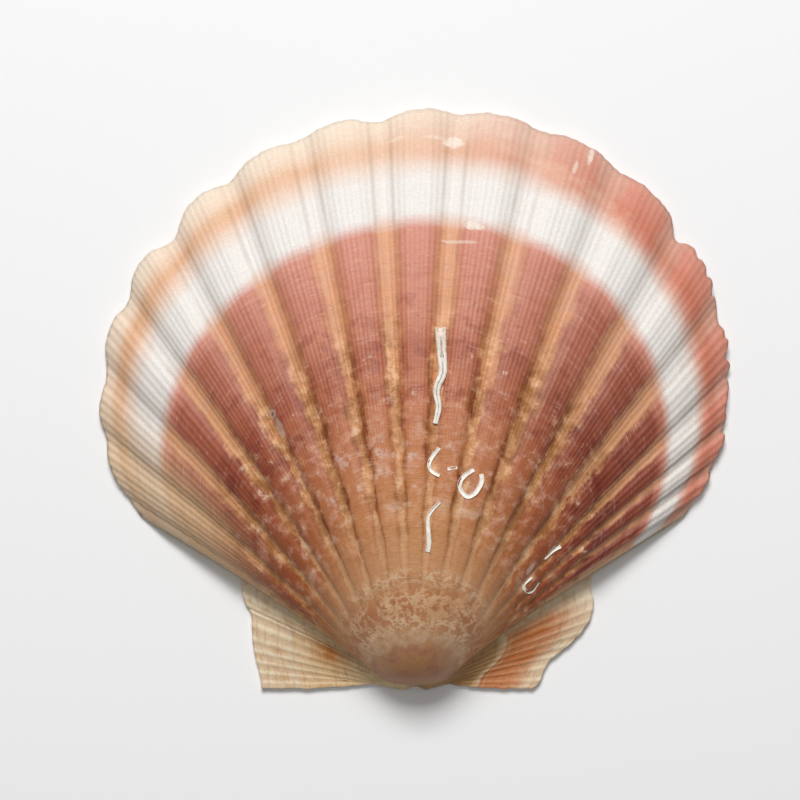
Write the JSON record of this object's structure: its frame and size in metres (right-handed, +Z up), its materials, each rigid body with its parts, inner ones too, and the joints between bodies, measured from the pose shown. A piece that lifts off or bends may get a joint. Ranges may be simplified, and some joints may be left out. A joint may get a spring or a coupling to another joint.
{
  "type": "scallop shell",
  "caption": "Domed, ribbed scallop valve with two ears, lying hollow side down on its rim, with chalky worm tubes cemented to its back.",
  "frame": {"origin": "middle of the footprint, on the surface that the shell lies on", "axes": "+X along the hinge, +Y from the hinge to the open margin, +Z up through the dome"},
  "size_m": [0.1298, 0.1184, 0.0269],
  "materials": {
    "shell": "satin calcite, rose ribs and ochre furrows with a white growth band",
    "worm_tube": "matte chalk white"
  },
  "bodies": {
    "root": {"shell_valve": "shell", "worm_tube_long": "worm_tube", "worm_tube_hook": "worm_tube", "worm_tube_crumb": "worm_tube", "worm_tube_loop": "worm_tube", "worm_tube_short": "worm_tube", "worm_tube_line": "worm_tube", "worm_tube_arc": "worm_tube"}
  },
  "joints": []
}
